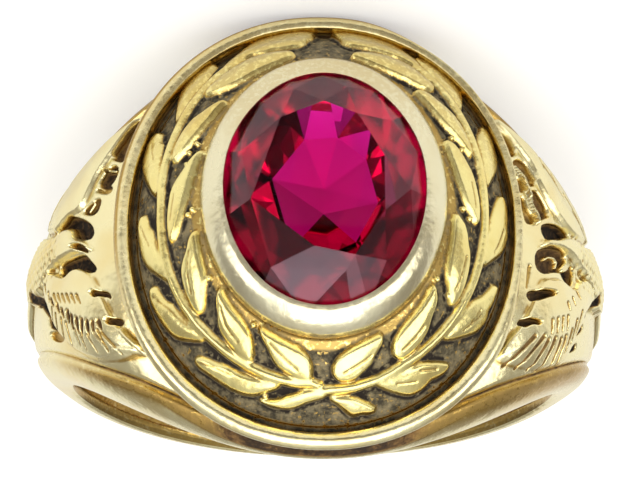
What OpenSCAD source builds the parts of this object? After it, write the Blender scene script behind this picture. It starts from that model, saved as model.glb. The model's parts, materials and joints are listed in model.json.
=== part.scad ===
/* [Finger hole] */
// Inside diameter of the band
finger_d = 19.7; // [19:0.1:20.4]

/* [Band] */
// Width of the band at the back of the finger
band_w = 4.2; // [3.6:0.1:5]
// Thickness of the band at the back of the finger
band_t = 1.15; // [0.9:0.05:1.5]
// Extra thickness that the shoulders gain towards the head
shoulder_gain = 2.5; // [2.2:0.1:2.7]
// Width of the rounded moulding along each edge of a shoulder
moulding_w = 1.15; // [0.9:0.05:1.3]

/* [Head] */
// Width of the head across the finger, from crest to crest of its rim
head_w = 15.1; // [14.8:0.1:15.4]
// Length of the head along the finger, from crest to crest of its rim
head_l = 17.1; // [16.8:0.1:17.4]
// Height of the rim's crest over the finger hole
rim_h = 1.8; // [1.7:0.05:1.9]
// Height of the wreath's domed field over the finger hole, where it meets the collar
field_h = 4.1; // [4:0.05:4.2]

/* [Stone] */
// Width of the oval stone
stone_w = 8; // [7.8:0.1:8.2]
// Length of the oval stone
stone_l = 10; // [9.8:0.1:10.2]
// Height of the stone's girdle over the finger hole
girdle_h = 4.95; // [4.9:0.05:5]
// Height of the crown, from the girdle to the table
crown_h = 1.25; // [1.1:0.05:1.4]
// Depth of the pavilion, from the girdle to the culet
pavilion_h = 3.2; // [2.8:0.1:3.4]
// Air between one piece and the next
gap = 0.04; // [0.03:0.01:0.06]

/* [Wreath] */
// Leaves on each side of each of the two branches
leaves = 6; // [5:1:7]
// Height of a leaf's midrib over the field
leaf_rise = 0.34; // [0.2:0.02:0.4]
// Half the width of a leaf
leaf_half_w = 0.5; // [0.35:0.01:0.55]

/* [Eagles] */
// Height of the eagle over the shoulder
eagle_rise = 0.34; // [0.2:0.02:0.4]
// Flight feathers in each wing
flight_feathers = 8; // [6:1:9]
// Feathers in the tail
tail_feathers = 5; // [3:1:7]

/* [Hidden] */

gold = [0.85, 0.70, 0.38];
pale_gold = [0.88, 0.82, 0.62];
ruby = [0.62, 0.03, 0.22];

finger_r = finger_d / 2;
BAND_STEPS = 60;
OVAL_STEPS = 60;
COLLAR_STEPS = 60;

// Heights in the ring's own frame: the finger hole runs along y and the head faces +z.
crest_z = finger_r + rim_h;
field_top_z = finger_r + field_h;
girdle_z = finger_r + girdle_h;
plate_z = finger_r + 0.75;
recess_z = finger_r + 2.35;

function lerp(a, b, s) = a + (b - a) * s;
function smooth(s) = let(c = min(1, max(0, s))) c * c * (3 - 2 * c);

// Band and shoulders: angle t is measured round the finger from the middle of the head, and
// from_head is how far it is from there on either side. Towards the back the band narrows and
// thins, and under the head its outside is cut down to a flat plate.
foot_flare = 0.2;
plate_until = 70;
function from_head(t) = abs(t < -180 ? t + 360 : t);
function half_width(t) =
    band_w / 2 + (head_l / 2 + foot_flare - band_w / 2) * pow(cos(from_head(t) / 2), 7);
function free_wall(t) = band_t + shoulder_gain * pow(cos(from_head(t) / 2), 5);
function plate_wall(t) = plate_z / cos(t) - finger_r;
function soft_min(a, b, p) = pow(pow(a, -p) + pow(b, -p), -1 / p);
function wall(t) =
    from_head(t) < plate_until ? soft_min(free_wall(t), plate_wall(t), 6) : free_wall(t);
function moulding(t) = moulding_w * lerp(0.35, 1, smooth(from_head(t) / 40));

// A shoulder is domed across its width: its edges keep the band's own thickness, and the wall
// that it gains towards the head stands in the middle.
dome_power = 2.4;
function own_wall(t) = min(wall(t), band_t);
function dome_radius(t, y, rise = 1) =
    finger_r + rise * own_wall(t)
    + (wall(t) - own_wall(t)) * (1 - pow(abs(y) / half_width(t), dome_power));

// Half of the cross-section, from the edge to the middle. On a shoulder a row gives the share of
// the band's own thickness, the inset in moulding widths and the share of what is left to the
// middle. On the band behind the finger it gives the shares of the thickness and the half-width.
RISE = 0;
INSET = 1;
REST = 2;
BACK_RISE = 3;
BACK_SHARE = 4;
section_rows = [
    [0.22, 0.00, 1.00, 0.14, 1.00],
    [0.60, 0.10, 1.00, 0.36, 0.98],
    [0.94, 0.38, 1.00, 0.62, 0.88],
    [1.06, 0.78, 1.00, 0.80, 0.71],
    [0.88, 1.06, 1.00, 0.89, 0.56],
    [1.00, 1.30, 1.00, 0.94, 0.43],
    [1.00, 1.30, 0.68, 0.97, 0.30],
    [1.00, 1.30, 0.36, 0.99, 0.15]];
widest_inset = 0.55;

shoulder_end = 72;
band_start = 110;
function on_shoulder(t) = 1 - smooth((from_head(t) - shoulder_end) / (band_start - shoulder_end));
function section_point(t, row) =
    let(k = on_shoulder(t), w = half_width(t),
        inset = min(row[INSET] * moulding(t), w * widest_inset),
        y = lerp(row[BACK_SHARE] * w, (w - inset) * row[REST], k))
    [dome_radius(t, y, lerp(row[BACK_RISE], row[RISE], k)), y];
bored_away = 0.7;
function half_section(t) = [for (row = section_rows) section_point(t, row)];
function section(t) =
    let(half = half_section(t), last = len(half) - 1, inner = finger_r - bored_away)
    concat([[inner, half_width(t)]],
           half,
           [[dome_radius(t, 0), 0]],
           [for (i = [last : -1 : 0]) [half[i].x, -half[i].y]],
           [[inner, -half_width(t)]]);
function round_finger(p, t) = [p.x * sin(t), p.y, p.x * cos(t)];

// Closed skin over rings of points, joined in order. A loop has no end caps.
function ring_faces(n, m, loop) = [
    for (i = [0 : (loop ? n : n - 1) - 1], j = [0 : m - 1])
        let(a = i * m + j, b = i * m + (j + 1) % m,
            c = ((i + 1) % n) * m + (j + 1) % m, d = ((i + 1) % n) * m + j)
        [a, b, c, d]];
module skin(rings, loop = false) {
    n = len(rings);
    m = len(rings[0]);
    caps = loop ? [] : [[for (j = [m - 1 : -1 : 0]) j], [for (j = [0 : m - 1]) (n - 1) * m + j]];
    polyhedron(points = [for (r = rings, p = r) p], faces = concat(ring_faces(n, m, loop), caps));
}

module band() {
    step = 360 / BAND_STEPS;
    skin([for (i = [0 : BAND_STEPS - 1]) let(t = -i * step) [for (p = section(t)) round_finger(p, t)]],
         loop = true);
}

// An oval with the given half-width and half-length. power 2 is an ellipse, and more is squarer.
function signed_power(v, p) = sign(v) * pow(abs(v), p);
function oval_point(a, half_w, half_l, z, power) =
    [half_w * signed_power(sin(a), 2 / power), -half_l * signed_power(cos(a), 2 / power), z];
function oval_ring(half_w, half_l, z, power, steps) =
    [for (i = [0 : steps - 1]) oval_point(-i * 360 / steps, half_w, half_l, z, power)];

// Head: each row is the offset from the rim's crest and the height from the crest.
OUT = 0;
UP = 1;
rim_power = 2.1;
rim_rows = [
    [0.02, -3.40],
    [0.02, -0.98],
    [-0.04, -0.74],
    [0.24, -0.58],
    [0.32, -0.32],
    [0.20, -0.08],
    [0.00, 0.00],
    [-0.24, -0.06],
    [-0.34, -0.26],
    [-0.40, -0.54]];

// Field of the wreath: a is the angle from the head's near end, and s goes from the rim to the
// collar. The field slopes, so a lift off it goes partly outwards and partly up.
field_out = -0.46;
field_low_z = crest_z - 0.56;
field_power = 2.05;
field_swell = 0.30;
collar_foot = 0.62;
lift_out = 0.6;
lift_up = 0.8;
function field_half(s, crest, stone) = lerp(crest / 2 + field_out, stone / 2 + collar_foot, s);
function field_point(a, s, lift) =
    oval_point(a, field_half(s, head_w, stone_w) + lift_out * lift,
               field_half(s, head_l, stone_l) + lift_out * lift,
               lerp(field_low_z, field_top_z, s) + field_swell * sin(180 * s) + lift_up * lift,
               field_power);

module head_drum() {
    wall_rings = [for (r = rim_rows) oval_ring(head_w / 2 + r[OUT], head_l / 2 + r[OUT], crest_z + r[UP],
                                               rim_power, OVAL_STEPS)];
    dome_rings = [for (s = [0 : 0.25 : 1])
                      [for (i = [0 : OVAL_STEPS - 1]) field_point(-i * 360 / OVAL_STEPS, s, 0)]];
    skin(concat(wall_rings, dome_rings));
}

// A leaf or a feather: a raised blade from one place on a surface to another. Its half-width and
// its height follow a rounded curve along it, and bend bows it sideways. unit is the length in
// millimetres of one step in each of the surface's two measures.
LEAF_STATIONS = [0, 0.15, 0.42, 0.75, 1];
FEATHER_STATIONS = [0, 0.3, 0.72, 1];
blade_tip_share = 0.06;
root_depth = 0.12;
function blade_width(u) = max(blade_tip_share, pow(sin(180 * pow(u, 0.85)), 0.75));
function beside(p, from, to, reach, unit) =
    let(d = [(to.x - from.x) * unit.x, (to.y - from.y) * unit.y], side = [-d.y, d.x] / norm(d))
    [p.x + side.x * reach / unit.x, p.y + side.y * reach / unit.y];
function along(from, to, u, bend, unit) =
    beside([lerp(from.x, to.x, u), lerp(from.y, to.y, u)], from, to, bend * sin(180 * u), unit);

// A leaf has a ridge along its middle and rounded flanks.
field_unit = [0.125, 3.7];
flank_width = 0.8;
flank_rise = 0.6;
module wreath_blade(from, to, half_w, rise, bend) {
    skin([for (u = LEAF_STATIONS)
        let(p = along(from, to, u, bend, field_unit), w = half_w * blade_width(u),
            l = beside(p, from, to, w, field_unit), r = beside(p, from, to, -w, field_unit),
            ll = beside(p, from, to, w * flank_width, field_unit),
            rr = beside(p, from, to, -w * flank_width, field_unit))
        [field_point(r.x, r.y, -root_depth),
         field_point(rr.x, rr.y, rise * flank_rise),
         field_point(p.x, p.y, rise),
         field_point(ll.x, ll.y, rise * flank_rise),
         field_point(l.x, l.y, -root_depth)]]);
}

// One branch climbs each side of the field, from the crossing at the near end to the far end.
// Each leaf springs from the branch and reaches almost to the foot of the next one, and the last
// pair stretches to meet the other branch.
wreath_span = 152;
leaf_pitch = wreath_span / leaves;
outer_start = 19;
inner_start = 3;
outer_tip_s = 0.16;
inner_tip_s = 0.88;
leaf_bend = 0.12;
stem_from = -16;
stem_to = 158;
stem_steps = 18;
stem_half_w = 0.17;
branch_s = 0.47;
function branch_level(a) = branch_s - 0.12 * smooth((a - 100) / 60);
function stem_level(a) = branch_level(a) - 0.1 * smooth(a / stem_from);
function stem_width(a) = stem_half_w / field_unit.y * (a > 0 ? 1 : 1 - 0.4 * a / stem_from);
function leaf_reach(k) = leaf_pitch * (k == leaves - 1 ? 1.27 : 0.97);
module stem(side) {
    skin([for (i = [0 : stem_steps])
        let(a = lerp(stem_from, stem_to, i / stem_steps), s = stem_level(a), half_s = side * stem_width(a))
        [field_point(side * a, s - half_s, -root_depth),
         field_point(side * a, s, leaf_rise * 0.75),
         field_point(side * a, s + half_s, -root_depth)]]);
}
module branch(side) {
    stem(side);
    for (k = [0 : leaves - 1]) {
        outer = outer_start + leaf_pitch * k;
        inner = inner_start + leaf_pitch * k;
        wreath_blade([side * outer, branch_level(outer)], [side * (outer + leaf_reach(k)), outer_tip_s],
                     leaf_half_w, leaf_rise, -side * leaf_bend);
        wreath_blade([side * inner, branch_level(inner)], [side * (inner + leaf_reach(k)), inner_tip_s],
                     leaf_half_w, leaf_rise, side * leaf_bend);
    }
    // A small leaf hangs below the crossing.
    wreath_blade([-side * 3, 0.34], [-side * 17, 0.17], leaf_half_w * 0.6, leaf_rise * 0.8, 0);
}

// Eagle on a shoulder, in the shoulder's own measures: t round the finger, and y along it.
shoulder_unit = [0.208, 1];
function shoulder_point(t, y, lift) = round_finger([dome_radius(t, y) + lift, y], t);
module shoulder_blade(side, from, to, half_w, rise, bend) {
    skin([for (u = FEATHER_STATIONS)
        let(p = along(from, to, u, bend, shoulder_unit), w = side * half_w * blade_width(u),
            l = beside(p, from, to, w, shoulder_unit), r = beside(p, from, to, -w, shoulder_unit))
        [shoulder_point(side * r.x, r.y, -root_depth),
         shoulder_point(side * p.x, p.y, rise),
         shoulder_point(side * l.x, l.y, -root_depth)]]);
}
// Wings: feathers fan from the wrist, the first along the head's rim and the last along the body.
feather_half_w = 0.34;
feather_bend = 0.25;
module wing(side, way) {
    for (k = [0 : flight_feathers - 1]) {
        f = k / (flight_feathers - 1);
        shoulder_blade(side, [lerp(46, 60, f), way * lerp(0.9, 0.5, f)],
                       [lerp(40, 70, f), way * lerp(4.5, 1.9, smooth(f))],
                       feather_half_w, eagle_rise * lerp(1.1, 0.8, f), -way * feather_bend);
    }
}
// Body, head with its beak to one side, and the tail spread behind.
module eagle(side) {
    for (way = [-1, 1]) wing(side, way);
    shoulder_blade(side, [47, 0], [74, 0], 0.8, eagle_rise * 1.6, 0);
    shoulder_blade(side, [43, 0.25], [52, 0], 0.42, eagle_rise * 1.7, 0);
    shoulder_blade(side, [43.5, -0.55], [46.5, 0.35], 0.2, eagle_rise * 1.3, 0);
    for (k = [0 : tail_feathers - 1]) {
        f = k / (tail_feathers - 1) - 0.5;
        shoulder_blade(side, [70, f * 0.5], [84, f * 2.2], 0.26, eagle_rise, 0);
    }
}

// Seat for the collar, and the light hole under the stone that opens into the finger hole.
light_hole_in = 0.7;
collar_tube_out = 0.27;
below_hole_wall = 2.5;
module setting_hole() {
    ledge_w = stone_w / 2 - light_hole_in + gap;
    ledge_l = stone_l / 2 - light_hole_in + gap;
    seat_w = stone_w / 2 + collar_tube_out + gap;
    seat_l = stone_l / 2 + collar_tube_out + gap;
    skin([oval_ring(ledge_w, ledge_l, finger_r - below_hole_wall, 2, COLLAR_STEPS),
          oval_ring(ledge_w, ledge_l, recess_z, 2, COLLAR_STEPS),
          oval_ring(seat_w, seat_l, recess_z, 2, COLLAR_STEPS),
          oval_ring(seat_w, seat_l, field_top_z + 1, 2, COLLAR_STEPS)]);
}

module ring_body() {
    color(gold) rest_pose() difference() {
        resize([0, 0, 0]) difference() {
            union() {
                band();
                head_drum();
                for (side = [-1, 1]) {
                    branch(side);
                    eagle(side);
                }
            }
            setting_hole();
        }
        rotate([90, 0, 0]) cylinder(r = finger_r, h = head_l + 10, center = true, $fn = 180);
    }
}

// Collar: a cup that stands in the seat, with its lip rubbed over the stone's crown. Each row
// is the offset from the girdle's outline and the height from the girdle.
collar_rows = [
    [-light_hole_in, recess_z + gap - girdle_z],
    [collar_tube_out, recess_z + gap - girdle_z],
    [collar_tube_out, field_top_z + gap - girdle_z],
    [0.50, field_top_z + gap - girdle_z],
    [0.57, -0.70],
    [0.54, -0.42],
    [0.42, -0.10],
    [0.20, 0.20],
    [-0.12, 0.42],
    [-0.27, 0.46],
    [-0.30, 0.38],
    [0.05, 0.08],
    [0.05, -0.14],
    [-0.28, -0.54],
    [-0.50, -0.90]];
module bezel_collar() {
    n = len(collar_rows);
    color(pale_gold) rest_pose()
        skin([for (r = collar_rows)
                  oval_ring(stone_w / 2 + r[OUT], stone_l / 2 + r[OUT], girdle_z + r[UP], 2, COLLAR_STEPS)],
             loop = true);
}

// Oval brilliant: eight-sided table, star and kite facets, a thin girdle and a pavilion whose
// mains meet in a short keel. Shares are of the girdle's half-width and half-length.
table_share = 0.62;
star_share = 0.80;
girdle_t = 0.10;
pavilion_share = 0.50;
pavilion_depth = 0.735;
keel_half = 0.5;
function gem_ring(share, z, n, turn) =
    [for (i = [0 : n - 1]) let(a = turn + i * 360 / n)
        [stone_w / 2 * share * cos(a), stone_l / 2 * share * sin(a), z]];
module oval_ruby() {
    half_turn = 22.5;
    star_up = crown_h * (1 - star_share * cos(half_turn)) / (1 - table_share);
    facet_corners = concat(
        gem_ring(table_share, girdle_z + crown_h, 8, 0),
        gem_ring(star_share, girdle_z + star_up, 8, half_turn),
        gem_ring(1, girdle_z, 16, 0),
        gem_ring(1, girdle_z - girdle_t, 16, 0),
        gem_ring(pavilion_share, girdle_z - girdle_t - pavilion_h * pavilion_depth, 8, half_turn),
        [for (end = [-1, 1]) [0, end * keel_half, girdle_z - pavilion_h]]);
    color(ruby) rest_pose()
        hull() polyhedron(points = facet_corners, faces = [[for (i = [0 : len(facet_corners) - 1]) i]]);
}

// Lying on its side, the ring touches the surface with the edge of its hole under the head and
// with the edge of its band, so its finger hole leans by the angle between those two.
head_foot = [finger_r, half_width(0)];
band_foot = section_point(180, section_rows[1]);
lean = atan((head_foot.y - band_foot.y) / (head_foot.x + band_foot.x));
floor_drop = head_foot.y * cos(lean) - head_foot.x * sin(lean);
back_foot = section_point(180, section_rows[3]);
front_reach = (girdle_z + crown_h) * cos(lean) + stone_l / 2 * table_share * sin(lean);
back_reach = back_foot.x * cos(lean) + back_foot.y * sin(lean);
module rest_pose() {
    translate([0, (front_reach - back_reach) / 2, floor_drop])
        rotate([0, 0, 180]) rotate([lean - 90, 0, 0]) children();
}

ring_body();
bezel_collar();
oval_ruby();
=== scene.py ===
import json
import bmesh
import bpy
import numpy as np
from mathutils import Matrix


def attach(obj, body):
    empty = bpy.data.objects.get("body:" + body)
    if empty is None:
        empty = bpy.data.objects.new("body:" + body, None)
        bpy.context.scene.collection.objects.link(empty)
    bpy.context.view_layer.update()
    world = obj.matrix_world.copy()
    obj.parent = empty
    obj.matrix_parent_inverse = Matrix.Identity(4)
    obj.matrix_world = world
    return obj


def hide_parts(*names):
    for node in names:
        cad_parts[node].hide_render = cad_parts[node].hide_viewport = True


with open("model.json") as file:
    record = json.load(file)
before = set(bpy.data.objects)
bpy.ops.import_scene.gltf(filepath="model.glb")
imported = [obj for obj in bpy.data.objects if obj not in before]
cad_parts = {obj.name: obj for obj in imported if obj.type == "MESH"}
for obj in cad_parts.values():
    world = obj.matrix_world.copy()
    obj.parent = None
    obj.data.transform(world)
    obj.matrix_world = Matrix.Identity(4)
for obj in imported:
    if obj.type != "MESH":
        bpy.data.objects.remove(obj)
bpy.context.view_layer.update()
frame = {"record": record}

# Where the ring lies and how it is seen. The ring has measures of its own, in millimetres from the
# middle of the finger hole: x across the head, y along the finger, z out through the stone. The
# ring lies on its side, so the finger hole leans, and its bore in the frame says where and how.
bore = frame["record"]["mounts"][0]
finger_r = bore["dims"]["r_mm"]
hole_middle = np.array(bore["pos_m"])
along_finger = -np.array(bore["axis"]) / np.linalg.norm(bore["axis"])
across_head = np.array([-1.0, 0.0, 0.0])
through_stone = np.cross(across_head, along_finger)
ring_axes = np.stack([across_head, along_finger, through_stone])
MM = 0.001


def laid(points):
    """Points in the ring's own measures, put where the ring lies, in metres: the middle of the
    finger hole plus each measure along its own axis."""
    return hole_middle + MM * (np.asarray(points, float) @ ring_axes)


# The viewer looks down on the head from its near side. The head's near side is up as the ring
# lies, so the picture is turned to show the finger hole's far end at its top.
view_from = 105.0
view_height = np.radians(67.85)
view_side = np.radians(-1.42)
view_roll = np.radians(1.09)
looked_at = np.array([0.0, 0.0, 7.0])
picture_w = 631
focal_px = 2673.0
aim_left_px = 2.70
aim_up_px = 19.67
sensor_mm = 36.0

back = np.array([np.sin(view_side), -np.cos(view_height) * np.cos(view_side),
                 np.sin(view_height) * np.cos(view_side)])
back /= np.linalg.norm(back)
level = np.cross(-back, [0.0, np.sin(view_height), np.cos(view_height)])
level /= np.linalg.norm(level)
upright = np.cross(level, -back)
right = np.cos(view_roll) * level + np.sin(view_roll) * upright
up = np.cos(view_roll) * upright - np.sin(view_roll) * level
forward = -back - right * aim_left_px / focal_px + up * aim_up_px / focal_px
forward /= np.linalg.norm(forward)
right -= forward * (right @ forward)
right /= np.linalg.norm(right)
up = np.cross(right, forward)

camera = bpy.data.objects.new("camera", bpy.data.cameras.new("camera"))
bpy.context.scene.collection.objects.link(camera)
camera.data.sensor_width = sensor_mm
camera.data.lens = focal_px * sensor_mm / picture_w
camera.data.clip_start = 0.01
stand = np.eye(4)
stand[:3, 0], stand[:3, 1], stand[:3, 2] = right @ ring_axes, up @ ring_axes, -forward @ ring_axes
stand[:3, 3] = laid(looked_at + back * view_from)
camera.matrix_world = Matrix(stand.tolist())
bpy.context.scene.camera = camera
bpy.context.scene.view_settings.view_transform = "Standard"


# Floor and light: the floor is one sheet of pale, matt card. The light is soft, from a bright room
# all round and three wide lamps, one over the ring and one on each side.
def new_material(name):
    """A material with nodes: the material, its node tree and its shader."""
    material = bpy.data.materials.new(name)
    material.use_nodes = True
    tree = material.node_tree
    return material, tree, tree.nodes["Principled BSDF"]


def feed(tree, source, socket):
    """Links a node's output to an input, or sets the input where the source is a plain value."""
    if isinstance(source, bpy.types.NodeSocket):
        tree.links.new(source, socket)
    else:
        socket.default_value = source


def node(tree, kind, feeds=None, **settings):
    """A shader node of the given kind. feeds says what each input gets, an output or a value. The
    settings are the node's own, or its inputs' values where the name is an input's."""
    made = tree.nodes.new("ShaderNode" + kind)
    for name, value in settings.items():
        if hasattr(made, name):
            setattr(made, name, value)
        else:
            made.inputs[name.replace("_", " ")].default_value = value
    for name, source in (feeds or {}).items():
        feed(tree, source, made.inputs[name])
    return made


def noise(tree, place, scale, detail=2.0, roughness=0.5):
    """Soft noise from 0 to 1, with clouds as wide as one over the scale."""
    made = node(tree, "TexNoise", {"Vector": place}, Scale=scale, Detail=detail, Roughness=roughness)
    return made.outputs["Fac"]


def ramp(tree, source, *stops):
    """A colour that follows a value: each stop is a value and the colour there."""
    made = node(tree, "ValToRGB", {"Fac": source})
    for element, (place, colour) in zip(made.color_ramp.elements, stops):
        element.color = (*colour, 1)
        element.position = place
    return made.outputs["Color"]


def mapped(tree, source, **ends):
    """A value moved in a straight line from one span to another, and held inside it."""
    return node(tree, "MapRange", {"Value": source}, **ends).outputs["Result"]


def counted(tree, operation, *values, **settings):
    """One step of arithmetic on outputs or values."""
    return node(tree, "Math", dict(enumerate(values)), operation=operation, **settings).outputs["Value"]


def blend(tree, share, first, second):
    """A colour that is the first where the share is 0 and the second where it is 1."""
    return node(tree, "Mix", {0: share, 6: first, 7: second}, data_type="RGBA").outputs[2]


BLACK = (0, 0, 0, 1)
floor_half = 0.16
floor_tones = (0.74, 0.735, 0.72), (0.78, 0.775, 0.76)
floor_glow = 0.30
floor_mesh = bpy.data.meshes.new("floor")
floor_mesh.from_pydata([(-floor_half, -floor_half, 0), (floor_half, -floor_half, 0),
                        (floor_half, floor_half, 0), (-floor_half, floor_half, 0)], [], [(0, 1, 2, 3)])
floor = bpy.data.objects.new("floor", floor_mesh)
bpy.context.scene.collection.objects.link(floor)
floor_pale, tree, shader = new_material("floor_pale")
place = node(tree, "TexCoord").outputs["Object"]
cloud = noise(tree, place, 6.0)
feed(tree, ramp(tree, cloud, (0, floor_tones[0]), (1, floor_tones[1])), shader.inputs["Base Color"])
shader.inputs["Roughness"].default_value = 0.9
# The floor glows a little where it is looked at straight, so that shadows on it stay pale.
seen = node(tree, "LightPath").outputs["Is Camera Ray"]
shader.inputs["Emission Color"].default_value = (1, 1, 1, 1)
feed(tree, counted(tree, "MULTIPLY", seen, floor_glow), shader.inputs["Emission Strength"])
floor_mesh.materials.append(floor_pale)

room = bpy.data.worlds.new("room")
bpy.context.scene.world = room
room.use_nodes = True
tree = room.node_tree
low_wall, ceiling = (0.42, 0.40, 0.38), (1.0, 1.0, 1.0)
room_light = 0.85
# One small part of the room is dark: where the stone's flat table would mirror it to the viewer.
unlit_way = (0.0, -0.998, -0.065)
place = node(tree, "TexCoord").outputs["Generated"]
height = node(tree, "SeparateXYZ", {"Vector": place}).outputs["Z"]
wall_tone = ramp(tree, height, (0.35, low_wall), (0.95, ceiling))
facing = node(tree, "VectorMath", {0: place, 1: unlit_way}, operation="DOT_PRODUCT").outputs["Value"]
lit = mapped(tree, facing, From_Min=0.965, From_Max=0.985, To_Min=1.0, To_Max=0.05)
feed(tree, blend(tree, lit, BLACK, wall_tone), tree.nodes["Background"].inputs["Color"])
tree.nodes["Background"].inputs["Strength"].default_value = room_light

# Each lamp: its place in metres, how wide it is, and how many watts it gives.
lamps = {"lamp_over": ((0.0, -0.14, 0.40), 0.50, 1.5),
         "lamp_left": ((0.34, -0.22, 0.20), 0.24, 0.4),
         "lamp_right": ((-0.34, -0.20, 0.22), 0.24, 0.4)}
for name, (spot, width, watts) in lamps.items():
    lamp = bpy.data.objects.new(name, bpy.data.lights.new(name, "AREA"))
    bpy.context.scene.collection.objects.link(lamp)
    lamp.data.size = width
    lamp.data.energy = watts
    away = np.array(spot) / np.linalg.norm(spot)
    side = np.cross([0.0, 1.0, 0.0], away)
    side /= np.linalg.norm(side)
    turn = np.eye(4)
    turn[:3, 0], turn[:3, 1], turn[:3, 2], turn[:3, 3] = side, np.cross(away, side), away, spot
    lamp.matrix_world = Matrix(turn.tolist())


# Band and shoulders: one casting of yellow gold. Behind the finger it is a plain rounded band, and
# towards the head it widens into two shoulders, each with a rounded moulding along both edges.
band_w, band_t = 4.2, 1.14
shoulder_gain = 2.5
shoulder_end, plain_start = 72.0, 110.0
moulding_w = 1.15
head_w, head_l = 15.1, 17.1
crest_z = finger_r + 1.8
plate_z = finger_r + 0.75
plate_over, plate_end = 0.2, 70.0
dome_power = 2.4
# From the edge of the band to its middle. On a shoulder a row gives the share of the band's own
# thickness, the inset in moulding widths, and the share of what is left to the middle. Behind the
# finger it gives the share of the wall and of the half-width.
section_rows = np.array([
    [0.00, 0.03, 1.00, 0.00, 0.98],
    [0.22, 0.00, 1.00, 0.14, 1.00],
    [0.60, 0.10, 1.00, 0.36, 0.98],
    [0.94, 0.38, 1.00, 0.62, 0.88],
    [1.06, 0.78, 1.00, 0.80, 0.71],
    [0.88, 1.06, 1.00, 0.89, 0.56],
    [1.00, 1.30, 1.00, 0.94, 0.43],
    [1.00, 1.30, 0.68, 0.97, 0.30],
    [1.00, 1.30, 0.36, 0.99, 0.15],
    [1.00, 1.30, 0.00, 1.00, 0.00]])
# Numbers of the rows in the groove beside the panel, at the panel's edge and in the middle.
GROOVE, PANEL, MIDDLE = 5, 6, 9


def soft_step(value, start, end):
    """0 up to the start, 1 from the end on, and between them three squares less two cubes of the
    way. Where the end is the lower one, it is 1 below the end and 0 above the start."""
    share = np.clip((value - start) / (end - start), 0, 1)
    return share * share * (3 - 2 * share)


def bell(value, middle, reach):
    """1 at the middle, falling on both sides as e to the power minus the squared distance, counted
    in reaches."""
    return np.exp(-((value - middle) / reach) ** 2)


def from_head(t):
    """Angle away from the middle of the head on either side, in degrees."""
    return np.abs((np.asarray(t, float) + 180) % 360 - 180)


def on_shoulder(t):
    """1 on the shoulders, falling softly to 0 on the plain band."""
    return soft_step(from_head(t), plain_start, shoulder_end)


def half_width(t):
    """Half the band's width: the back's, plus what the head needs times the seventh power of the
    cosine of half the angle from the head."""
    return band_w / 2 + (head_l / 2 + plate_over - band_w / 2) * np.cos(np.radians(from_head(t) / 2)) ** 7


def wall(t):
    """Thickness of the wall: the back's, plus the shoulder's gain times the fifth power of the
    cosine of half the angle, cut down softly to the flat plate under the head."""
    a = from_head(t)
    free = band_t + shoulder_gain * np.cos(np.radians(a / 2)) ** 5
    plate = plate_z / np.cos(np.radians(np.minimum(a, plate_end + 5))) - finger_r
    return np.where(a < plate_end, (free ** -6.0 + plate ** -6.0) ** (-1 / 6), free)


def through_rows(rows, at):
    """Smooth curve through the rows of a table, read at row numbers: a cubic between two rows, whose
    slope at a row is the harmonic mean of the steps on its two sides, or level where they turn."""
    step = np.diff(rows, axis=0)
    both = step[:-1] * step[1:]
    total = step[:-1] + step[1:]
    inner = np.where(both > 0, 2 * both / np.where(both > 0, total, 1), 0)
    slope = np.concatenate([step[:1], inner, step[-1:]])
    k = np.minimum(np.asarray(at).astype(int), len(rows) - 2)
    f = (np.asarray(at) - k).reshape((-1,) + (1,) * (rows.ndim - 1))
    return (rows[k] * (1 + 2 * f) * (1 - f) ** 2 + slope[k] * f * (1 - f) ** 2
            + rows[k + 1] * f * f * (3 - 2 * f) + slope[k + 1] * f * f * (f - 1))


def dome_radius(t, y, rise=1.0):
    """Radius of the band's outside: the finger's, plus a share of the band's own thickness, plus
    what the shoulder gains times one less the distance from the middle to the power dome_power."""
    own = np.minimum(wall(t), band_t)
    return finger_r + rise * own + (wall(t) - own) * (1 - np.abs(y / half_width(t)) ** dome_power)


def half_section(t, at):
    """Radius and y along half a cross-section at every angle t: the table's rows, blended from the
    shoulder's columns to the plain band's, then smoothed, read at row numbers and domed."""
    half = half_width(t)
    moulding = moulding_w * (0.35 + 0.65 * soft_step(from_head(t), 0, 40))
    rise, inset, rest, back_rise, back_share = section_rows.T[:, :, None]
    inset = np.minimum(inset * moulding, half * 0.55)
    y = back_share * half + ((half - inset) * rest - back_share * half) * on_shoulder(t)
    rows = through_rows(np.stack([back_rise + (rise - back_rise) * on_shoulder(t), y], -1), at)
    return np.stack([dome_radius(t, rows[..., 1], rows[..., 0]), rows[..., 1]], -1)


def round_finger(radius, y, t):
    """Points at a radius from the finger's axis, an angle t from the head, and y along the finger."""
    a = np.radians(t)
    return np.stack([radius * np.sin(a), y + 0 * a, radius * np.cos(a)], -1)


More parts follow.
